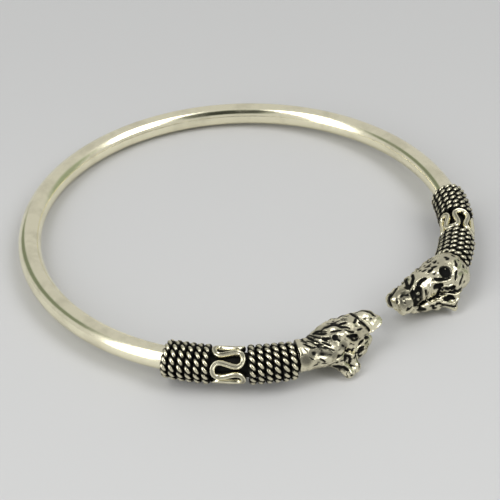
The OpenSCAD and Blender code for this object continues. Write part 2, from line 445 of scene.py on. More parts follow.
def hoop_inputs(side):
    """Inputs of every wire on the hoop."""
    hoop = settings().bangle_hoop
    return {"Hoop Radius": hoop.hoop_radius, "Wire Radius": hoop.wire_radius, "Lean": hoop.lean,
            "Side": float(side)}


def on_hoop(graph, given, along, around, reach):
    """Place of a point: distance along the wire from the middle of the opening, angle around the
    wire from up towards outward, and distance from the wire's middle."""
    station = along / given["Hoop Radius"]
    radius = given["Hoop Radius"] + reach * graph.sine(around)
    x = radius * graph.sine(station) * given["Side"]
    y = radius * graph.cosine(station) * -1
    flat = graph.vector(x, y, reach * graph.cosine(around))
    leaned = graph.out("ShaderNodeVectorRotate", {"rotation_type": "X_AXIS"},
                       {"Vector": flat, "Angle": given["Lean"] * -1})
    lift = given["Wire Radius"] + given["Hoop Radius"] * graph.sine(given["Lean"])
    return graph.vector_math("ADD", leaned, graph.vector(0, 0, lift))


# Points of a strand along each grain and round its outline
GRAIN_POINTS = 20
STRAND_SIDES = 12

# Unevenness of the twisted wire: angle of the twist at random and from turn to turn, and how far and
# where round the wire a turn tilts
LOOSE_TWIST = 0.35
TURN_TWIST = 0.2
TURN_TILT = 0.05
TILT_ANGLE = 3

# Height over the plain wire at which the polish starts and ends, as a share of the rope's diameter,
# and how much more black the side towards the wrist gets, as painted shade
CREST = (0.84, 0.91)
WRIST_SHADE = 0.05


def rope_tree(graph, given):
    """Turns of two-strand wire, each one strand that runs twice round and closes on itself."""
    points = GRAIN_POINTS * given["Grains"]
    copies = graph.node("GeometryNodeDuplicateElements", {"domain": "SPLINE"},
                        {"Geometry": graph.circle(points, 1.0), "Amount": given["Turns"]})
    turn = Value(graph, copies.outputs["Duplicate Index"])
    around = graph.out("GeometryNodeSplineParameter", socket="Index") / points * (4 * pi)
    wobble = graph.out("FunctionNodeRandomValue", {"data_type": "FLOAT"},
                       {2: -1.0, 3: 1.0, "ID": turn, "Seed": given["Seed"]}, 1)
    tapered = graph.math("COMPARE", turn, given["Tapered Turn"], 0.5)
    size = 1 - tapered * (1 - given["End Scale"])
    strand_r = given["Rope Diameter"] / 4
    ring_r = given["Wire Radius"] + strand_r * 2 * size
    twist = (around * given["Grains"] / 2 * given["Hand"] + wobble * LOOSE_TWIST
             + turn * TURN_TWIST)
    reach = ring_r + strand_r * size * graph.cosine(twist)
    tilt = graph.sine(around + wobble * TILT_ANGLE) * wobble * TURN_TILT * given["Pitch"]
    along = (given["From"] * given["Hoop Radius"] + (turn + 0.5) * given["Pitch"]
             + strand_r * size * graph.sine(twist) + tilt)
    bent = graph.move(Value(graph, copies.outputs["Geometry"]),
                      on_hoop(graph, given, along, around, reach))
    core = on_hoop(graph, given, along, around, (size - 1) * given["Rope Diameter"])
    wire = graph.sweep(graph.store(bent, "core", core, "FLOAT_VECTOR"),
                       graph.circle(STRAND_SIDES, strand_r))
    middle = graph.stored("core", "FLOAT_VECTOR")
    here = graph.out("GeometryNodeInputPosition")
    height = graph.measure("DISTANCE", here, middle) - given["Wire Radius"]
    inward = graph.measure("LENGTH", middle) - graph.measure("LENGTH", here)
    # painted shade: the side of each turn towards the wrist keeps more black
    painted_wrist_shade = graph.math("MAXIMUM", inward / given["Wire Radius"], 0) * WRIST_SHADE
    oxide = 1 - graph.ramp(height / given["Rope Diameter"] - painted_wrist_shade, *CREST)
    return graph.store(wire, "oxide", oxide)


# Points of the wavy wire along each wave and round its section
WAVE_POINTS = 48
SECTION_POINTS = 32

# Side of the hoop's wire to which the loops stretch, as an angle from up towards outward
STRETCH_SIDE = pi / 4

# Section: how round it is across and up, from 0 for a square to 1 for an ellipse, and how narrow its
# groove is and how sharply that starts
ROUND_ACROSS = 0.8
ROUND_UP = 0.7
GROOVE_NARROWNESS = 9
GROOVE_START = 3

# Share of the wavy wire's height over which the black fades out, and the darkness of its groove
WAVE_POLISH = (0.2, 0.62)
GROOVE_BLACK = 0.6


def wave_tree(graph, given):
    """Wire bent to a wave round the hoop's wire, flat-sided with a shallow groove on its back."""
    index = graph.out("GeometryNodeSplineParameter", socket="Index")
    wave = index / WAVE_POINTS
    even = given["Turn"] + (2 * pi) / given["Waves"] * (
        wave - given["Swell"] * graph.sine(wave * (4 * pi)))
    around = even + given["Stretch"] * graph.sine(even - STRETCH_SIDE)
    sway = (given["Length"] - given["Width"]) / 2 * graph.sine(wave * (2 * pi))
    along = given["Station"] * given["Hoop Radius"] - sway
    reach = given["Wire Radius"] + given["Seat"] + given["Height"] / 2
    bent = graph.move(graph.circle(WAVE_POINTS * given["Waves"], 1.0),
                      on_hoop(graph, given, along, around, reach))
    core = on_hoop(graph, given, along, around, reach * 0)
    middle = graph.stored("core", "FLOAT_VECTOR")
    here = graph.out("GeometryNodeInputPosition")
    outward = graph.vector_math("NORMALIZE", graph.vector_math("SUBTRACT", here, middle))
    held = graph.out("GeometryNodeSetCurveNormal", {"mode": "FREE"},
                     {"Curve": graph.store(bent, "core", core, "FLOAT_VECTOR"), "Normal": outward})
    turn = index * (2 * pi / SECTION_POINTS)
    across, up = graph.cosine(turn), graph.sine(turn)
    square_across = graph.math("SIGN", across) * graph.math("ABSOLUTE", across) ** ROUND_ACROSS
    square_up = graph.math("SIGN", up) * graph.math("ABSOLUTE", up) ** ROUND_UP
    groove = (graph.math("EXPONENT", across * across * -GROOVE_NARROWNESS)
              * graph.clamp(up * GROOVE_START))
    section = graph.vector((square_up - given["Groove"] * groove) * given["Height"] / 2,
                           square_across * given["Width"] / 2, 0)
    outline = graph.move(graph.store(graph.circle(SECTION_POINTS, 1.0), "groove", groove), section)
    wire = graph.sweep(held, outline)
    height = graph.measure("DISTANCE", here, middle) - given["Wire Radius"]
    low = 1 - graph.ramp(height / given["Height"], *WAVE_POLISH)
    sunk = graph.stored("groove") * GROOVE_BLACK
    return graph.store(wire, "oxide", graph.math("MAXIMUM", low, sunk))


# Clay: a solid as signed distances on a grid, in the head's own frame


# Least length that a division allows, in millimetres
TINY = 1e-9


class Clay:
    """Solid in millimetres, whose distances are negative inside, and the ink that blackens it."""

    # Corners of the grid, distance where nothing is near, and cells worked on beyond a form
    LOW = (-7.0, -6.5, -4.6)
    HIGH = (12.8, 7.0, 4.4)
    FAR = 9.0
    MARGIN = 3

    # Distances from the head's axis at which the skin is sought, and steps from a place to the skin
    RAYS = np.arange(0.3, 5.6, 0.03)
    SNAPS = 3

    def __init__(self, step):
        self.step = step
        self.low = np.array(self.LOW)
        self.size = np.ceil((np.array(self.HIGH) - self.low) / step).astype(int) + 1
        self.solid = np.full(self.size, self.FAR, np.float32)
        self.ink = np.zeros(self.size, np.float32)
        self.axes = [self.low[i] + step * np.arange(self.size[i], dtype=np.float32)
                     for i in range(3)]

    def window(self, low, high):
        """The cells between two corners, and where they are."""
        first = np.clip(np.floor((low - self.low) / self.step).astype(int), 0, self.size - 1)
        last = np.clip(np.ceil((high - self.low) / self.step).astype(int) + 1, 1, self.size)
        part = tuple(slice(a, b) for a, b in zip(first, last))
        grid = np.meshgrid(*[self.axes[i][part[i]] for i in range(3)], indexing="ij", sparse=True)
        return part, grid

    def blend(self, low, high, distance, soft, cut):
        """Adds or cuts a form, whose distance is a function of the grid, with a soft seam."""
        margin = soft + self.MARGIN * self.step
        part, grid = self.window(np.asarray(low) - margin, np.asarray(high) + margin)
        form = distance(*grid)
        old = self.solid[part]
        if cut:
            share = np.clip(0.5 - 0.5 * (old + form) / soft, 0, 1)
            self.solid[part] = old * (1 - share) - form * share + soft * share * (1 - share)
        else:
            share = np.clip(0.5 + 0.5 * (old - form) / soft, 0, 1)
            self.solid[part] = old * (1 - share) + form * share - soft * share * (1 - share)

    def ball(self, middle, radii, soft):
        """Adds an ellipsoid."""
        middle, radii = np.array(middle, float), np.array(radii, float)

        def distance(x, y, z):
            p = [(x - middle[0]), (y - middle[1]), (z - middle[2])]
            near = np.sqrt(sum((p[i] / radii[i]) ** 2 for i in range(3)))
            slope = np.sqrt(sum((p[i] / radii[i] ** 2) ** 2 for i in range(3))) + TINY
            return (near * (near - 1) / slope).astype(np.float32)

        self.blend(middle - radii, middle + radii, distance, soft, False)

    def rod(self, start, end, r_start, r_end, soft, cut=False):
        """Adds or cuts a round rod that tapers from one point to another."""
        start, end = np.array(start, float), np.array(end, float)
        reach = max(r_start, r_end)
        distance = rod_distance(start, end, r_start, r_end)
        self.blend(np.minimum(start, end) - reach, np.maximum(start, end) + reach,
                   distance, soft, cut)

    def lump(self, points, radii, soft, cut=False):
        """Rods through a row of points."""
        for i in range(len(points) - 1):
            self.rod(points[i], points[i + 1], radii[i], radii[i + 1], soft, cut)

    def ahead_of(self, point, normal):
        """Distance of each cell ahead of a plane."""
        grid = np.meshgrid(*self.axes, indexing="ij", sparse=True)
        return sum((grid[i] - point[i]) * normal[i] for i in range(3))

    def trim(self, point, normal, soft):
        """Cuts away all that lies ahead of a plane."""
        ahead = self.ahead_of(point, np.array(normal, float) / np.linalg.norm(normal))
        share = np.clip(0.5 - 0.5 * (self.solid - ahead) / soft, 0, 1)
        cut = self.solid * (1 - share) + ahead * share + soft * share * (1 - share)
        self.solid = cut.astype(np.float32)

    def ink_behind(self, point, normal, edge=0.08):
        """Blackens all that lies behind a plane."""
        share = np.clip(0.5 - self.ahead_of(point, normal) / edge, 0, 1)
        self.ink = np.maximum(self.ink, share).astype(np.float32)

    def roughen(self, height, cells, seed):
        """Uneven skin of a casting."""
        uneven = np.random.default_rng(seed).normal(size=self.size).astype(np.float32)
        uneven = smooth(uneven, cells)
        self.solid += uneven * (height / uneven.std())

    def ink_rod(self, start, end, radius, darkness, edge=0.1):
        """Sets the oxide in and round a stroke, with an edge that fades out over some width."""
        reach = radius + edge
        part, grid = self.window(np.minimum(start, end) - reach, np.maximum(start, end) + reach)
        away = rod_distance(start, end, radius, radius)(*grid)
        share = np.clip(0.5 - away / edge, 0, 1)
        self.ink[part] += (darkness - self.ink[part]) * share

    def sample(self, field, places):
        """Values of a field at places, by trilinear interpolation."""
        at = (places - self.low) / self.step
        base = np.clip(np.floor(at).astype(int), 0, self.size - 2)
        share = at - base
        total = np.zeros(len(places))
        for corner in np.ndindex(2, 2, 2):
            weight = np.prod(np.where(corner, share, 1 - share), axis=1)
            i, j, k = (base + corner).T
            total += weight * field[i, j, k]
        return total

    def skin(self, form, chart):
        """Points on a form's surface and their outward directions. The chart gives the distance
        along the head and the angle from up to outward, or else a place close to the surface."""
        if len(chart[0]) == 3:
            spots = np.array(chart, float)
            for _ in range(self.SNAPS):
                spots = spots - self.slope(form, spots) * self.sample(form, spots)[:, None]
            return spots, self.slope(form, spots)
        along, around = np.array(chart, float).T
        angle = np.radians(around)
        outward = np.stack([0 * angle, np.sin(angle), np.cos(angle)], axis=1)
        places = outward[:, None, :] * self.RAYS[None, :, None]
        places[..., 0] += along[:, None]
        inside = self.sample(form, places.reshape(-1, 3)).reshape(len(along), len(self.RAYS)) < 0
        last = len(self.RAYS) - 1 - np.argmax(inside[:, ::-1], axis=1)
        found = inside.any(axis=1)
        spots = places[np.arange(len(along)), last][found]
        return spots, self.slope(form, spots)

    def slope(self, form, spots):
        """Outward direction at points."""
        slopes = np.stack([self.sample(form, spots + shift) - self.sample(form, spots - shift)
                           for shift in np.eye(3) * self.step], axis=1)
        return slopes / (np.linalg.norm(slopes, axis=1, keepdims=True) + TINY)


def rod_distance(start, end, r_start, r_end):
    """Distance to a tapering rod, as a function of the grid."""
    run = end - start
    square = max(run @ run, TINY)

    def distance(x, y, z):
        px, py, pz = x - start[0], y - start[1], z - start[2]
        t = np.clip((px * run[0] + py * run[1] + pz * run[2]) / square, 0, 1)
        away = np.sqrt((px - t * run[0]) ** 2 + (py - t * run[1]) ** 2 + (pz - t * run[2]) ** 2)
        return (away - (r_start + (r_end - r_start) * t)).astype(np.float32)

    return distance


def smooth(field, cells):
    """Blurs a field with a box of that many cells to each side, twice along each axis."""
    for axis in (0, 1, 2):
        for _ in range(2):
            total = np.zeros_like(field)
            for shift in range(-cells, cells + 1):
                total += np.roll(field, shift, axis)
            field = total / (2 * cells + 1)
    return field


# The heads' forms and carving


# Forms of the heads, in the order in which they are made: what it is, the way it is made, its points,
# the radius at each and the softness of its seam. A pair shows on both cheeks. A ball has its middle
# and its three radii. A trim cuts away what lies ahead of a plane, given by a point and a direction
MUZZLE = (
    ("snout", "lump", ((2.0, -0.1, 0.6), (6.2, -0.1, 0.85)), (2.45, 1.95), 0.7),
    ("upper lip", "pair", ((7.5, 0.8, 0.6), (9.9, 0.8, 0.5)), (1.4, 1.1), 0.4),
    ("lip edge", "pair", ((7.9, 1.2, -0.4), (9.9, 1.1, -0.35)), (0.8, 0.75), 0.3),
)
NOSE = {
    -1: (
        ("nose", "lump", ((8.2, 0, 1.5), (10.4, 0, 1.0)), (1.1, 0.85), 0.3),
        ("nose end", "trim", (10.9, 1.7, 0), (1, -0.62, 0.12), 0.3),
        ("lower lip", "trim", (8.0, 2.0, 0.3), (0.2, 0.17, -0.96), 0.2),
    ),
    1: (
        ("nose", "lump", ((8.2, 0, 1.4), (10.4, 0, 0.9)), (1.1, 0.85), 0.3),
        ("nose end", "trim", (10.7, 1.7, 0), (1, 0.15, -0.1), 0.3),
    ),
}
SKULL = {
    -1: (
        ("skull", "ball", (0.8, 0.05, 0.05), (3.5, 2.75, 2.45), 0.6),
    ),
    1: (
        ("skull", "ball", (0.5, -0.25, 0.15), (3.6, 3.2, 2.8), 0.6),
        ("cheek", "ball", (-1.6, 0.85, -0.45), (1.88, 1.88, 1.88), 0.6),
    ),
}
HOLLOWS = (
    ("side of the mouth", "cut pair", ((6.4, 2.5, 1.4), (6.9, 2.6, 0), (6.6, 2.3, -1)),
     (0.35, 0.8, 0.6), 0.15),
    ("mouth", "cut", ((4.2, 0, -1.5), (7.0, 0, -1.3), (11.6, 0, -2.2)),
     (0.35, 0.6, 1.1), 0.15),
)
JAW = {
    -1: (
        ("jaw", "pair", ((1.4, 1.9, -1.2), (3.6, 2.0, -2.0), (6.2, 1.6, -1.95), (8.2, 0.9, -1.8)),
         (1.15, 1.15, 1.0, 0.75), 0.3),
        ("back of the tuft", "pair", ((1.5, 2.1, -1.2), (2.4, 3.7, -2.93)), (0.95, 0.7), 0.3),
        ("front of the tuft", "pair", ((3.4, 2.3, -1.5), (3.7, 3.45, -2.88)), (1.0, 0.76), 0.3),
        ("edge of the tuft", "pair", ((2.4, 3.7, -2.93), (3.7, 3.45, -2.88)), (0.7, 0.76), 0.3),
        ("shut cheek", "pair", ((4.2, 1.4, -0.5), (6.6, 1.25, -0.6), (7.5, 1.1, -0.7)),
         (0.9, 0.8, 0.6), 0.3),
    ),
    1: (
        ("jaw", "pair", ((0.6, 1.9, -1.3), (3.6, 1.8, -2.0), (7.4, 0.9, -1.7)),
         (1.3, 0.95, 0.65), 0.4),
        ("back of the outer tuft", "lump", ((0.6, 2.1, -1.1), (1.8, 3.6, -2.65)), (1.2, 0.5), 0.3),
        ("front of the outer tuft", "lump", ((3.0, 2.2, -1.5), (1.8, 3.6, -2.65)), (1.0, 0.5), 0.3),
        ("back of the inner tuft", "lump", ((0.6, -2.1, -1.1), (2.1, -3.5, -3.13)), (1.2, 0.6), 0.3),
        ("front of the inner tuft", "lump", ((3.0, -2.2, -1.5), (2.1, -3.5, -3.13)),
         (1.0, 0.6), 0.3),
    ),
}
BROW_AND_FLOOR = (
    ("brow", "pair", ((1.2, 1.1, 2.2), (3.8, 1.5, 2.1)), (0.5, 0.5), 0.4),
    ("floor of the mouth", "lump", ((3.6, 0, -2.2), (7.8, 0, -1.9)), (1.0, 0.6), 0.4),
)

# Neck in millimetres: gap to the wire's end, shift from the wire, end in the skull, radii and the
# softness of its seam. A collar lies between the wrap and the neck's rim, blackened both as oxide in
# its hollow and as painted shade of the gap
NECK_GAP = 0.05
NECK_SHIFT = {-1: (0, -0.3, 0.4), 1: (0, 0, 0)}
NECK_END = {-1: (-0.9, -0.1, 0.1), 1: (-0.9, -0.4, 0.25)}
NECK_RADII = {-1: (2.35, 2.2, 2.25), 1: (2.4, 2.35, 2.6)}
NECK_SEAM = 0.4
RIM_SEAM = 0.12
COLLAR_LENGTH = {-1: 0.14, 1: 0.06}
COLLAR_RADIUS = 1.95
COLLAR_SEAM = 0.05
COLLAR_END_SEAM = 0.02


def shape(clay, forms):
    """Adds and cuts forms in their order."""
    for _, way, points, radii, soft in forms:
        if way == "ball":
            clay.ball(points, radii, soft)
        elif way == "trim":
            clay.trim(points, radii, soft)
        else:
            for cheek in (1, -1) if "pair" in way else (1,):
                clay.lump([(x, y * cheek, z) for x, y, z in points], radii, soft, "cut" in way)


def neck(clay, side):
    """Neck from the wire's end into the skull, with the collar and the skull's own forms."""
    to_head = head_matrix(side).inverted() @ station_matrix(side, settings().bangle_hoop.open_half)
    start, ahead = (np.array(to_head @ Vector((along * MM, 0, 0)))
                    for along in (NECK_GAP, NECK_GAP + 1))
    run = ahead - start
    shift = np.array(NECK_SHIFT[side])
    collar = start + run * COLLAR_LENGTH[side]
    clay.lump([start + shift, ahead + shift, NECK_END[side]], NECK_RADII[side], NECK_SEAM)
    shape(clay, SKULL[side])
    clay.trim(collar, -run, RIM_SEAM)
    clay.rod(start + shift / 2, ahead + shift / 2, COLLAR_RADIUS, COLLAR_RADIUS, COLLAR_SEAM)
    clay.trim(start, -run, COLLAR_END_SEAM)
    # painted shade and oxide: all that lies behind the collar's rim is blackened
    clay.ink_behind(collar, run)


# Carving read off the photograph: what is done, its width, its depth, height or darkness, and the
# points of the stroke as distance along the head and angle from up to outward
LEFT_CHART = (
    ("cut", 0.54, 0.26, (6.5, -15), (6.7, 2), (6.9, 14), (7.0, 27), (7.2, 41), (7.4, 55), (7.6, 71)),
    ("cut", 0.36, 0.2, (7.2, -20), (8.0, -17), (8.6, -3), (9.2, 12), (9.6, 28)),
    ("pit", 0.1, 0.1, (7.6, 42)),
    ("pit", 0.09, 0.08, (8.4, 37)),
    ("pit", 0.1, 0.08, (7.7, 56)),
    ("pit", 0.1, 0.08, (9.2, 33)),
    ("cut", 0.2, 0.1, (7.5, 20), (7.9, 24)),
    ("ridge", 0.24, 0.12, (7.9, 77), (8.7, 74), (9.4, 70), (10.0, 66)),
    ("ridge", 0.22, 0.12, (3.4, 41), (4.2, 43), (5.2, 49), (5.9, 60)),
    ("cut", 0.2, 0.14, (3.4, 45), (3.9, 49)),
    ("cut", 0.5, 0.38, (4.1, 52), (4.7, 58), (5.4, 66)),
    ("ink", 0.56, 1.0, (3.9, 50), (4.7, 58), (5.5, 67)),
    ("cut", 0.26, 0.2, (4.2, 63), (4.9, 76), (5.5, 81), (5.7, 73)),
    # painted highlight: a small raised bead kept bright silver in the black eye stands for its glint
    ("bead", 0.14, 0.0, (4.9, 70)),
    ("ridge", 0.22, 0.13, (3.1, 43), (3.8, 61), (4.4, 78), (4.9, 92)),
    ("cut", 0.2, 0.14, (3.6, 28), (4.0, 37), (5.0, 46)),
    ("cut", 0.18, 0.12, (5.6, 45), (6.5, 48)),
    ("ink", 0.22, 0.8, (5.5, 31), (5.9, 34)),
    ("cut", 0.24, 0.12, (6.3, 12), (5.9, 19), (5.6, 20)),
    ("cut", 0.2, 0.12, (6.4, 26), (6.7, 33)),
    ("cut", 0.26, 0.16, (0.2, -28), (0.8, -8), (1.7, -9), (2.9, -8), (3.4, -1)),
    ("cut", 0.24, 0.15, (3.4, 4), (3.7, 5), (4.3, 7), (4.7, 9)),
    ("cut", 0.28, 0.17, (2.5, -4), (3.0, 2), (3.5, 14), (4.1, 22), (4.5, 30)),
    ("cut", 0.18, 0.12, (1.5, -5), (2.2, -2), (2.6, -1)),
    ("cut", 0.2, 0.12, (1.6, 15), (2.2, 19), (3.1, 23)),
    ("ridge", 0.26, 0.08, (1.7, 6), (2.5, 10)),
    ("cut", 0.28, 0.17, (-1.8, -36), (-2.0, -34), (-2.3, -15), (-2.1, 0)),
    ("cut", 0.26, 0.16, (0.0, -30), (0.2, -12), (0.5, 2), (1.0, 11)),
    ("cut", 0.18, 0.12, (-0.7, -32), (-0.5, -17)),
    ("cut", 0.22, 0.13, (-0.6, -24), (-0.5, -4), (-0.1, 12)),
    ("cut", 0.24, 0.15, (0.1, 15), (0.6, 24), (1.0, 31)),
    ("cut", 0.18, 0.12, (-1.0, -34), (-1.1, -16), (-0.9, -2)),
    ("cut", 0.24, 0.14, (-1.3, -15), (-1.0, 5), (-0.6, 22)),
    ("cut", 0.18, 0.12, (-0.2, 26), (0.2, 39), (0.6, 49)),
    ("cut", 0.2, 0.12, (-1.8, -6), (-1.5, 2), (-1.2, 11)),
    ("cut", 0.22, 0.13, (-2.7, 4), (-2.4, 13), (-2.1, 24)),
    ("cut", 0.16, 0.1, (-2.3, 24), (-1.7, 29)),
    ("cut", 0.2, 0.1, (-1.6, 29), (-1.2, 35)),
    ("cut", 0.2, 0.12, (-1.1, 32), (-0.7, 42), (-0.2, 51)),
    ("cut", 0.16, 0.1, (-1.1, 42), (-0.7, 51)),
    ("cut", 0.16, 0.1, (0.4, -19), (0.8, -8)),
    ("cut", 0.18, 0.1, (0.6, -3), (1.2, 6)),
    ("cut", 0.2, 0.12, (-1.3, 20), (-0.8, 33)),
    ("cut", 0.16, 0.1, (-0.9, 25), (-0.3, 36)),
    ("cut", 0.18, 0.1, (-0.3, 42), (0.1, 54), (0.8, 67)),
    ("cut", 0.16, 0.1, (0.1, 19), (0.5, 30)),
    ("stain", 0.9, 0.8, (1.5, 32), (1.8, 36)),
    ("pit", 0.5, 0.26, (1.6, 33)),
    ("cut", 0.18, 0.1, (1.9, 42), (2.2, 50)),
    ("stain", 0.7, 0.65, (2.0, 63), (2.5, 65), (3.0, 79)),
    ("cut", 0.16, 0.1, (2.2, 62), (2.7, 72)),
    ("cut", 0.28, 0.18, (2.9, 80), (2.8, 97), (3.3, 102)),
    ("dent", 1.6, 0.1, (-3.7, 54)),
    ("stain", 1.1, 0.75, (-3.7, 49), (-3.4, 58)),
    ("stain", 0.8, 0.6, (-2.6, 42), (-1.8, 53), (-1.0, 66), (0.1, 77), (0.8, 80)),
    ("stain", 0.3, 0.5, (-2.5, 44), (-1.9, 50), (-1.3, 57)),
    ("stain", 0.3, 0.6, (-0.7, 65), (0.0, 73)),
    ("stain", 0.4, 0.0, (-1.7, 68), (-0.9, 78), (0.0, 86)),
    ("dent", 1.4, 0.08, (-1.8, 53), (-0.4, 70)),
    ("cut", 0.16, 0.1, (-1.5, 73), (-0.8, 92)),
    ("cut", 0.14, 0.08, (-0.6, 68), (0.2, 74)),
    ("ridge", 0.26, 0.13, (-3.7, 94), (-2.3, 104), (-0.8, 106), (0.6, 102), (1.3, 99), (2.4, 101),
     (3.2, 102), (3.7, 103)),
    ("cut", 0.12, 0.08, (-2.7, 106), (-2.1, 111)),
    ("cut", 0.12, 0.08, (-1.6, 112), (-1.2, 112)),
    ("cut", 0.12, 0.08, (-0.2, 109), (0.2, 108)),
    ("cut", 0.12, 0.08, (0.8, 106), (1.1, 105)),
    ("cut", 0.12, 0.08, (1.5, 105), (2.0, 106)),
    ("cut", 0.34, 0.22, (5.5, 111), (5.9, 103), (6.5, 98)),
    ("cut", 0.28, 0.18, (6.8, 95), (7.4, 106), (8.1, 126)),
    ("cut", 0.2, 0.14, (4.2, 112), (4.8, 116)),
    ("cut", 0.34, 0.2, (5.0, 118), (5.4, 117), (5.9, 116), (6.3, 116)),
    ("ridge", 0.2, 0.1, (6.3, 119), (7.0, 124), (7.6, 130)),
    ("pit", 0.09, 0.08, (6.5, 120)),
    ("pit", 0.09, 0.08, (6.9, 123)),
    ("pit", 0.09, 0.08, (7.4, 128)),
    ("cut", 0.26, 0.16, (4.9, 121), (5.4, 120), (6.1, 120)),
    ("ridge", 0.2, 0.1, (5.5, 124), (6.2, 123)),
    ("cut", 0.2, 0.12, (5.1, 126), (5.7, 128)),
    ("cut", 0.36, 0.22, (2.2, 108), (2.7, 106), (3.3, 105)),
    ("cut", 0.3, 0.2, (3.3, 105), (3.0, 112), (2.8, 118)),
    ("bead", 0.1, 0.02, (2.8, 107)),
    ("cut", 0.14, 0.1, (3.4, 107), (3.8, 111), (4.3, 115)),
    ("cut", 0.13, 0.1, (4.7, 115), (4.2, 118), (3.8, 122)),
    ("cut", 0.12, 0.08, (5.0, 119), (5.0, 131)),
    ("cut", 0.42, 0.26, (0.6, 120), (1.1, 117), (1.6, 116), (2.1, 119)),
    ("cut", 0.2, 0.12, (1.1, 118), (1.2, 127)),
    ("cut", 0.2, 0.12, (1.5, 116), (1.6, 121)),
    ("cut", 0.1, 0.06, (1.7, 130), (1.8, 122)),
    ("cut", 0.1, 0.06, (3.1, 122), (3.0, 126)),
    ("cut", 0.2, 0.1, (2.2, 122), (2.5, 123)),
    ("ridge", 0.26, 0.15, (2.4, 102), (3.3, 103), (4.3, 111), (5.2, 115), (5.9, 113), (6.5, 105),
     (7.7, 117)),
    ("stain", 1.3, -1.0, (7.9, 21), (8.1, 36), (8.3, 50)),
    ("stain", 0.9, -1.0, (7.8, 55), (8.4, 72), (9.6, 66)),
    ("stain", 0.5, -1.0, (8.3, 4), (8.9, 17)),
    ("stain", 0.4, -1.0, (3.3, 103), (4.3, 111), (5.9, 113), (6.5, 105)),
)
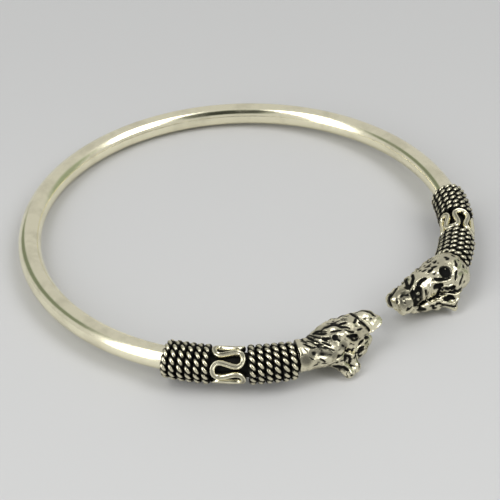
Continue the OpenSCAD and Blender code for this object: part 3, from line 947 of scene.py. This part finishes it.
RIGHT_CHART = (
    ("pit", 1.25, 0.76, (1.65, 30)),
    # painted highlight: a small bright silver bead in the black eye pit stands for its glint
    ("bead", 0.12, 0.0, (1.5, 24)),
    ("ridge", 0.4, 0.1, (3.5, 26), (2.8, 20)),
    ("cut", 0.36, 0.24, (4.1, 32), (3.9, 38), (3.1, 44), (2.3, 50), (1.6, 51)),
    ("ridge", 0.28, 0.16, (4.7, 36), (4.0, 44), (3.2, 50), (2.4, 56), (1.5, 58), (0.9, 52)),
    ("cut", 0.28, 0.17, (0.0, 46), (0.4, 57), (0.8, 66)),
    ("ridge", 0.2, 0.1, (0.5, 45), (0.9, 56)),
    ("cut", 0.26, 0.16, (-1.0, 66), (-0.3, 78), (0.1, 88)),
    ("cut", 0.32, 0.16, (-0.3, -9), (-0.4, -2), (0.0, 2)),
    ("cut", 0.28, 0.16, (-1.0, 18), (-0.8, 27), (-0.4, 34)),
    ("pit", 0.14, 0.12, (-1.7, 19)),
    ("pit", 0.2, 0.14, (2.1, -30)),
    ("pit", 0.18, 0.12, (0.7, -48)),
    ("pit", 0.2, 0.14, (1.2, -54)),
    ("pit", 0.18, 0.12, (4.4, -20)),
    ("cut", 0.2, 0.14, (1.3, -16), (2.0, -10)),
    ("cut", 0.2, 0.14, (2.3, -18), (3.1, -16), (3.4, -20)),
    ("cut", 0.24, 0.14, (2.3, 4), (2.8, -1), (3.2, 3), (4.0, 5)),
    ("cut", 0.2, 0.14, (3.8, -8), (4.6, -7)),
    ("cut", 0.2, 0.12, (2.3, -46), (2.9, -40)),
    ("cut", 0.28, 0.2, (6.6, -38), (7.2, -24), (7.7, -10), (8.1, 3)),
    ("cut", 0.28, 0.2, (5.7, -27), (6.5, -6), (7.1, 1), (7.6, 6)),
    ("cut", 0.42, 0.2, (7.8, 2), (8.4, 4), (8.2, 12), (7.7, 9)),
    ("ink", 0.24, 0.8, (9.0, 5), (8.8, 15)),
    ("ridge", 0.28, 0.18, (5.5, 10), (6.4, 9), (7.2, 13), (7.9, 19), (8.5, 25)),
    ("cut", 0.34, 0.22, (5.0, 17), (5.9, 16), (6.6, 20), (7.0, 27)),
    ("cut", 0.9, 0.42, (7.0, 30), (7.2, 45), (7.3, 70), (7.4, 95)),
    ("cut", 0.9, 0.36, (8.1, 32), (8.2, 60), (8.1, 90)),
    ("ink", 1.1, 1.0, (7.4, 34), (7.8, 60), (7.8, 92)),
    ("bead", 0.26, 0.02, (7.3, 44)),
    ("bead", 0.18, 0.0, (7.7, 68)),
    ("ridge", 0.3, 0.16, (6.2, 32), (6.4, 50), (6.4, 70), (6.4, 86)),
    ("cut", 0.24, 0.1, (6.0, 50), (6.0, 70)),
    ("ridge", 0.4, 0.18, (4.7, 36), (5.1, 50), (5.3, 63), (5.4, 80), (5.5, 98)),
    ("ink", 1.0, 1.0, (3.4, 60), (3.3, 76), (3.4, 94)),
    ("ink", 0.9, 1.0, (2.4, 78), (1.7, 86), (1.4, 98)),
    ("cut", 0.6, 0.28, (4.3, 55), (3.7, 58), (3.0, 64)),
    ("cut", 0.56, 0.28, (3.3, 71), (3.6, 83), (3.6, 98), (3.9, 108)),
    ("cut", 0.5, 0.26, (2.4, 80), (1.6, 83), (1.0, 90)),
    ("cut", 0.36, 0.2, (1.7, 95), (1.2, 99), (0.9, 100)),
    ("cut", 0.24, 0.14, (0.9, 101), (0.3, 100), (-0.4, 102)),
    ("ridge", 0.22, 0.14, (3.0, 66), (2.6, 70), (2.1, 76), (1.4, 76)),
    ("ridge", 0.14, 0.12, (2.7, 86), (2.2, 94), (1.9, 88), (1.6, 97), (1.2, 95)),
    ("bead", 0.13, 0.05, (3.1, 72)),
    ("bead", 0.11, 0.05, (3.2, 86)),
    ("bead", 0.1, 0.05, (2.9, 93)),
    ("bead", 0.1, 0.05, (3.3, 100)),
    ("stain", 0.4, 0.6, (3.0, 94), (2.8, 99)),
    ("cut", 0.2, 0.12, (2.4, 99), (2.0, 101), (1.6, 103), (1.2, 104)),
    ("ridge", 0.28, 0.17, (3.5, 103), (2.8, 103), (1.9, 106), (1.5, 107), (0.5, 105), (-0.2, 107)),
    ("cut", 0.5, 0.3, (3.2, 107), (2.4, 110), (1.6, 112)),
    ("ridge", 0.28, 0.17, (3.7, 113), (3.2, 112), (2.6, 116), (1.9, 117), (1.3, 114), (0.7, 113)),
    ("cut", 0.2, 0.14, (3.9, 117), (3.5, 119), (3.0, 120), (2.3, 121), (1.8, 120), (1.2, 118)),
    ("ink", 0.36, 1.0, (7.0, 1.3, -1.1), (5.8, 1.4, -1.1), (5.0, 1.4, -1.0), (4.2, 1.5, -0.9)),
    ("cut", 0.2, 0.14, (5.3, 103), (4.7, 109)),
    ("ridge", 0.24, 0.12, (5.3, 121), (4.8, 121), (4.1, 117), (3.6, 108)),
    ("cut", 0.3, 0.18, (4.9, 119), (4.4, 117), (4.0, 113)),
    ("cut", 0.14, 0.1, (5.3, 126), (4.4, 124), (3.8, 119)),
    ("cut", 0.26, 0.16, (4.9, 127), (4.7, 133), (4.4, 129)),
    ("cut", 0.14, 0.1, (3.8, 125), (3.4, 123)),
    ("cut", 0.6, 0.25, (7.1, 131), (6.6, 133), (6.2, 135)),
    ("stain", 1.5, 0.55, (9.5, 20), (9.9, 50)),
    ("cut", 0.16, 0.1, (10.6, 23), (10.8, 33)),
    ("pit", 0.13, 0.1, (10.3, 37)),
    ("pit", 0.12, 0.1, (10.0, 52)),
    ("pit", 0.1, 0.1, (9.8, 35)),
    ("cut", 0.32, 0.18, (8.9, -33), (9.4, -28), (9.9, -25), (10.4, -24)),
    ("cut", 0.62, 0.28, (10.3, -0.6, 1.4), (10.7, -0.5, 0.9), (10.8, -0.4, 0.3), (10.7, -0.4, -0.1)),
    ("ridge", 0.18, 0.05, (10.4, -1.3, 0.8), (10.6, -1.3, 0.3)),
    ("ridge", 0.28, 0.12, (10.6, -0.2, -0.1), (10.7, 0.8, -0.1)),
    ("ridge", 0.3, 0.12, (10.8, 79), (10.3, 96), (9.4, 108), (8.8, 98), (8.0, 93)),
    ("cut", 0.2, 0.1, (9.8, 78), (9.4, 90), (9.0, 81)),
)


# Distance between the points of a stroke, and radius that turns its angles into millimetres
STROKE_STEP = 0.2
CHART_RADIUS = 2.4

# Strokes whose middle is past this angle, or this far outward, are made on both cheeks
CHEEK_ANGLE = 40
CHEEK_OUTWARD = 1.2

# Share of its width that a stroke has at its ends, and how fast it widens along its length
END_WIDTH = 0.5
WIDENING = 3

# How much wider a cut's rod is than the cut shows, width of the black round it, and softness of the
# seams that the kinds of stroke leave
CUT_WIDER = 1.35
CUT_RIM = 0.05
SEAMS = {"cut": 0.06, "pit": 0.06, "dent": 0.25, "ridge": 0.08, "bead": 0.08}

# Unevenness of the casting: height in millimetres and blur in cells
UNEVEN_HEIGHT = 0.04
UNEVEN_BLUR = 3

# Seeds of the unevenness and of the strewn strokes
UNEVEN_SEED = 5
GRIME_SEED = 7
FUR_SEED = 3
PITS_SEED = 8

# Strokes strewn over a head: how many, kind, and then width, strength, distance along the head and
# angle, where two values are a range to draw from, and last the stroke's run in both directions
GRIME = (
    (90, "stain", (0.2, 0.5), (0.05, 0.3), (-3.5, 10), (-60, 120), None),
)
FUR = (
    (14, "cut", 0.1, 0.08, (-3.0, 0.8), (-30, 50), (0.5, 19)),
    (16, "cut", 0.09, 0.06, (1.5, 5.8), (-45, 0), (0.8, 5)),
)
PITS = (
    (26, "pit", (0.1, 0.19), 0.14, (0.8, 4.6), (-55, 8), None),
)


def spaced(stroke):
    """Points close together along a charted stroke."""
    points = []
    for start, end in zip(stroke, stroke[1:]):
        start, end = np.array(start, float), np.array(end, float)
        run = end - start
        length = np.linalg.norm(run) if len(run) == 3 else hypot(run[0], radians(run[1]) * CHART_RADIUS)
        count = ceil(length / STROKE_STEP)
        points += [start + run * i / count for i in range(count)]
    return points + [np.array(stroke[-1], float)]


def carve(clay, chart):
    """Cuts, raises and inks the charted strokes; those low on a cheek show on both cheeks."""
    form = clay.solid.copy()
    for kind, width, strength, *stroke in chart:
        points = spaced(stroke)
        low_from = CHEEK_ANGLE if len(points[0]) == 2 else CHEEK_OUTWARD
        both = sum(point[1] for point in points) / len(points) > low_from
        for cheek in (1, -1)[:1 + both]:
            flip = (1, cheek, 1)[:len(points[0])]
            spots, outward = clay.skin(form, [point * flip for point in points])
            if len(spots) > 0:
                mark(clay, kind, width, strength, spots, outward)


def mark(clay, kind, width, strength, spots, outward):
    """Makes a stroke: rods under or over the skin, with narrower ends, or ink on the skin."""
    if kind in ("pit", "bead", "dent"):
        radii = np.full(len(spots), width)
    else:
        share = np.linspace(0, 1, len(spots))
        taper = np.minimum(1, END_WIDTH + WIDENING * np.minimum(share, 1 - share))
        radii = (taper if len(spots) > 1 else 1 + share) * width / 2
        radii = radii * (CUT_WIDER if kind == "cut" else 1)
    sunk = kind in ("cut", "pit", "dent")
    if kind in SEAMS:
        spots = spots + outward * (radii - strength if sunk else strength - radii)[:, None]
    for i in list(range(1, len(spots))) or [0]:
        before = max(i - 1, 0)
        start, end, radius = spots[before], spots[i], radii[i]
        if kind in SEAMS:
            clay.rod(start, end, radii[before], radius, SEAMS[kind], sunk)
        if kind in ("cut", "pit"):
            clay.ink_rod(start, end, radius + CUT_RIM, 1)
        elif kind in ("ridge", "bead"):
            clay.ink_rod(start, end, radius, 0)
        elif kind == "ink":
            clay.ink_rod(start, end, radius, strength)
        elif kind == "stain":
            clay.ink_rod(start, end, width / 2, strength, width)


def strew(clay, groups, seed):
    """Carves strokes that are drawn at random."""
    draw = np.random.default_rng(seed)
    chart = []
    for count, kind, *ranges, run in groups:
        for _ in range(count):
            width, strength, along, around = (
                draw.uniform(*value) if isinstance(value, tuple) else value for value in ranges)
            stroke = [(along, around)]
            if run:
                stroke.append((along + run[0], around + run[1]))
            chart.append((kind, width, strength, *stroke))
    carve(clay, chart)


# Cells on each side of the skin that its mesh is made from
SKIN_CELLS = 3.0

# Recesses, found by how deep the skin lies in the blurred clay: distance that counts at most, blur in
# cells, depth of a full recess, share of that depth at which the oxide starts, and how fast it grows
RECESS_REACH = 0.6
RECESS_BLUR = 3
RECESS_DEPTH = 0.06
RECESS_FROM = 0.15
RECESS_GROWTH = 2


def head_mesh(clay, name, side):
    """Skin of the clay as a mesh on the bangle, with its recesses marked for the oxide."""
    grid = openvdb.FloatGrid()
    grid.background = SKIN_CELLS
    grid.copyFromArray(np.clip(clay.solid / clay.step, -SKIN_CELLS, SKIN_CELLS))
    cells, quads = grid.convertToQuads(isovalue=0.0)
    places = cells * clay.step + clay.low
    near = smooth(np.clip(clay.solid, -RECESS_REACH, RECESS_REACH), RECESS_BLUR)
    recess = -clay.sample(near, places) / RECESS_DEPTH
    recess = np.clip((recess - RECESS_FROM) * RECESS_GROWTH, 0, 1)
    ink = clay.sample(clay.ink, places)
    oxide = np.clip(ink + recess * (1 - np.minimum(ink, 0)), -1, 1)
    matrix = np.array(head_matrix(side))
    world = places @ matrix[:3, :3].T + matrix[:3, 3]
    if np.linalg.det(matrix[:3, :3]) < 0:
        quads = quads[:, ::-1]
    mesh = bpy.data.meshes.new(name)
    mesh.from_pydata(world, [], quads)
    mesh.shade_smooth()
    mesh.attributes.new("oxide", "FLOAT", "POINT").data.foreach_set("value", oxide.astype(np.float32))
    return mesh


# Operators


class BANGLE_OT_hoop(bpy.types.Operator):
    """Finish the plain round wire of the hoop"""

    bl_idname = "bangle.hoop"
    bl_label = "Hoop"

    def execute(self, context):
        dress(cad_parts["band"].data, polished_silver())
        return {"FINISHED"}


class BANGLE_OT_rope_wraps(bpy.types.Operator):
    """Make the four wraps of twisted wire"""

    bl_idname = "bangle.rope_wraps"
    bl_label = "Rope Wraps"

    def execute(self, context):
        wraps = context.scene.bangle_wraps
        material = worn_silver("rope_silver", TWISTED)
        parts = (("front", wraps.front_from, 0), ("back", wraps.back_from, wraps.turns - 1))
        seed = 0
        for end, side in SIDES.items():
            for part, start, tapered in parts:
                seed += 1
                node = f"{end}_{part}_wrap"
                at_right_head = part == "front" and side > 0
                piece = nodes_piece(node + "_rope", rope_tree, {
                    **hoop_inputs(side), "Hand": float(side),
                    "From": start, "Turns": wraps.turns, "Pitch": wraps.pitch,
                    "Rope Diameter": wraps.rope_diameter, "Grains": wraps.grains,
                    "Tapered Turn": tapered, "Seed": seed,
                    "End Scale": wraps.right_end_scale if at_right_head else wraps.end_scale,
                }, material)
                finish_piece(piece, node)
        return {"FINISHED"}


class BANGLE_OT_wavy_wires(bpy.types.Operator):
    """Make the two wavy wires"""

    bl_idname = "bangle.wavy_wires"
    bl_label = "Wavy Wires"

    def execute(self, context):
        waves = context.scene.bangle_waves
        material = worn_silver("wire_silver", BENT)
        for end, side in SIDES.items():
            node = f"{end}_wave_wire"
            piece = nodes_piece(node + "_bent", wave_tree, {
                **hoop_inputs(side), "Station": waves.station,
                "Turn": waves.left_turn if side < 0 else waves.right_turn,
                "Waves": waves.count, "Length": waves.length, "Width": waves.width,
                "Height": waves.height, "Swell": waves.swell, "Stretch": waves.stretch,
                "Seat": waves.seat, "Groove": waves.groove,
            }, material)
            finish_piece(piece, node)
        return {"FINISHED"}


class BANGLE_OT_heads(bpy.types.Operator):
    """Carve and cast the two beast heads"""

    bl_idname = "bangle.heads"
    bl_label = "Beast Heads"

    def execute(self, context):
        material = worn_silver("cast_silver", CAST)
        step = context.scene.bangle_heads.clay_step / MM
        for end, side in SIDES.items():
            clay = Clay(step)
            shape(clay, MUZZLE + NOSE[side])
            neck(clay, side)
            shape(clay, HOLLOWS + JAW[side] + BROW_AND_FLOOR)
            clay.roughen(UNEVEN_HEIGHT, UNEVEN_BLUR, UNEVEN_SEED)
            strew(clay, GRIME, GRIME_SEED)
            if side < 0:
                strew(clay, FUR, FUR_SEED)
                carve(clay, LEFT_CHART)
            else:
                strew(clay, PITS, PITS_SEED)
                carve(clay, RIGHT_CHART)
            node = f"{end}_head"
            piece = new_object(node + "_cast", head_mesh(clay, node + "_cast", side), material)
            finish_piece(piece, node)
        return {"FINISHED"}


class BANGLE_OT_stage(bpy.types.Operator):
    """Lay the pale table and set the lights and the camera"""

    bl_idname = "bangle.stage"
    bl_label = "Stage"

    def execute(self, context):
        stage = context.scene.bangle_stage
        context.scene.view_settings.view_transform = "Standard"
        lay_table(stage)
        light_scene()
        place_camera(stage)
        return {"FINISHED"}


# Half of the table's width, and the distances towards the camera between which its far side, darkened
# as painted shade, turns into its near side, in metres
TABLE_HALF = 1.2
NEAR_SIDE = (-0.07, 0.06)
TABLE_ROUGHNESS = 0.6


def lay_table(stage):
    mesh = bpy.data.meshes.new("table")
    corners = [(x * TABLE_HALF, y * TABLE_HALF, 0) for x, y in ((-1, -1), (1, -1), (1, 1), (-1, 1))]
    mesh.from_pydata(corners, [], [(0, 1, 2, 3)])
    material, graph = new_material("pale_table")
    place = graph.out("ShaderNodeTexCoord", socket="Object")
    nearer = graph.measure("DOT_PRODUCT", place, Vector(stage.camera_place).normalized())
    # painted shade: the table's colour is darker on its far side
    far_shade_colour = (*(value * stage.far_shade for value in stage.floor_colour[:3]), 1)
    colour = graph.mix_colour(graph.ramp(nearer, *NEAR_SIDE), far_shade_colour, tuple(stage.floor_colour))
    graph.node("ShaderNodeOutputMaterial", None,
               {"Surface": graph.principled(Base_Color=colour, Roughness=TABLE_ROUGHNESS)})
    new_object("table", mesh, material)


# Sensor in millimetres and nearest distance that the camera sees, in metres
SENSOR_WIDTH = 36
CLIP_START = 0.01


def place_camera(stage):
    data = bpy.data.cameras.new("photo_camera")
    data.lens = stage.lens
    data.sensor_width = SENSOR_WIDTH
    data.clip_start = CLIP_START
    camera = bpy.data.objects.new("photo_camera", data)
    place = Vector(stage.camera_place)
    camera.location = place
    camera.rotation_euler = (Vector(stage.camera_aim) - place).to_track_quat("-Z", "Y").to_euler()
    bpy.context.scene.collection.objects.link(camera)
    bpy.context.scene.camera = camera


def sky_point(azimuth, elevation):
    """Direction to a point of the room: azimuth from -Y towards +X, and elevation, in degrees."""
    level = cos(radians(elevation))
    return Vector((level * sin(radians(azimuth)), -level * cos(radians(azimuth)),
                   sin(radians(elevation))))


def strip(start, end, half_width):
    """A strip of the room between two of its points: directions to its middle, across and along it,
    and the tangents of half its width and half its length."""
    start, end = sky_point(*start), sky_point(*end)
    middle = (start + end).normalized()
    across = (end - start).cross(middle).normalized()
    return middle, across, middle.cross(across), tan(radians(half_width)), tan(middle.angle(end))


# Least cosine of the angle to a strip's middle at which the strip is drawn
AHEAD = 0.01


def patch(graph, direction, start, end, half_width, soft):
    """1 inside a strip of the room and 0 outside, with a soft edge of some degrees."""
    middle, across, along, wide, long = strip(start, end, half_width)
    soft = tan(radians(soft))
    ahead = graph.measure("DOT_PRODUCT", direction, middle)
    inside = graph.math("GREATER_THAN", ahead, AHEAD)
    for axis, half in ((across, wide), (along, long)):
        away = graph.math("ABSOLUTE", graph.measure("DOT_PRODUCT", direction, axis)) / ahead
        inside = graph.ramp(away * -1, -half - soft, -half + soft) * inside
    return inside


# Strips of the room: two ends, as azimuth and elevation, and half width in degrees. Then a softbox's
# brightness, or a dark part's edge in degrees and its share of dark; the first is where the camera is
SOFTBOXES = {
    "left_softbox": ((-93, 2), (-103, 72), 12, 3.4),
    "right_softbox": ((24, 32), (62, 72), 13, 3.4),
}
DARK_PARTS = (
    ((-33, 31), (-31, 74), 19, 5, 0.95),
    ((-184, 4), (-127, 43), 12, 4, 0.62),
    ((72, 0), (72, 40), 14, 8, 0.4),
)

# Distance of the softboxes in metres, brightness of the pale room and colour of its dark parts
SOFTBOX_AWAY = 1.0
ROOM_LIGHT = 0.57
WALL_COLOUR = (0.86, 1.0, 0.74, 1)


def hang_softbox(name, start, end, half_width, strength):
    """Area light that fills a strip of the room."""
    middle, across, along, wide, long = strip(start, end, half_width)
    light = bpy.data.lights.new(name, "AREA")
    light.shape = "RECTANGLE"
    light.size = 2 * SOFTBOX_AWAY * wide
    light.size_y = 2 * SOFTBOX_AWAY * long
    light.energy = strength * pi * light.size * light.size_y
    lamp = bpy.data.objects.new(name, light)
    turn = Matrix((across, along, middle)).transposed().to_4x4()
    lamp.matrix_world = Matrix.Translation(middle * SOFTBOX_AWAY) @ turn
    bpy.context.scene.collection.objects.link(lamp)


def light_scene():
    """Pale room with two softboxes, and darker where the camera stands."""
    world = bpy.data.worlds.new("room")
    bpy.context.scene.world = world
    world.use_nodes = True
    graph = Graph(world.node_tree)
    direction = graph.out("ShaderNodeTexCoord", socket="Generated")
    light, dark = ROOM_LIGHT, 0
    for *place, share in DARK_PARTS:
        part = patch(graph, direction, *place)
        light = light * (1 - share * part)
        dark = graph.math("MAXIMUM", dark, part)
    colour = graph.mix_colour(dark, (1, 1, 1, 1), WALL_COLOUR)
    sky = graph.out("ShaderNodeBackground", None, {"Color": colour, "Strength": light})
    graph.node("ShaderNodeOutputWorld", None, {"Surface": sky})
    for name, softbox in SOFTBOXES.items():
        hang_softbox(name, *softbox)


class BANGLE_PT_panel(bpy.types.Panel):
    """Sizes, finishes and steps of the bangle"""

    bl_label = "Bangle"
    bl_idname = "BANGLE_PT_panel"
    bl_space_type = "VIEW_3D"
    bl_region_type = "UI"
    bl_category = "Bangle"

    def draw(self, context):
        for group in GROUPS:
            box = self.layout.box()
            values = getattr(context.scene, group)
            for name in values.__annotations__:
                box.prop(values, name)
        for step in STEPS:
            self.layout.operator(step.bl_idname)


GROUPS = {
    "bangle_hoop": BangleHoop,
    "bangle_wraps": BangleWraps,
    "bangle_waves": BangleWaves,
    "bangle_heads": BangleHeads,
    "bangle_finish": BangleFinish,
    "bangle_stage": BangleStage,
}
STEPS = (BANGLE_OT_stage, BANGLE_OT_hoop, BANGLE_OT_rope_wraps, BANGLE_OT_wavy_wires, BANGLE_OT_heads)
CLASSES = (*GROUPS.values(), *STEPS, BANGLE_PT_panel)


def register():
    for made in CLASSES:
        bpy.utils.register_class(made)
    for name, group in GROUPS.items():
        setattr(bpy.types.Scene, name, PointerProperty(type=group))


def unregister():
    for name in GROUPS:
        delattr(bpy.types.Scene, name)
    for made in reversed(CLASSES):
        bpy.utils.unregister_class(made)


def main():
    register()
    bpy.ops.bangle.stage()
    bpy.ops.bangle.hoop()
    bpy.ops.bangle.rope_wraps()
    bpy.ops.bangle.wavy_wires()
    bpy.ops.bangle.heads()


if __name__ == "__main__":
    main()
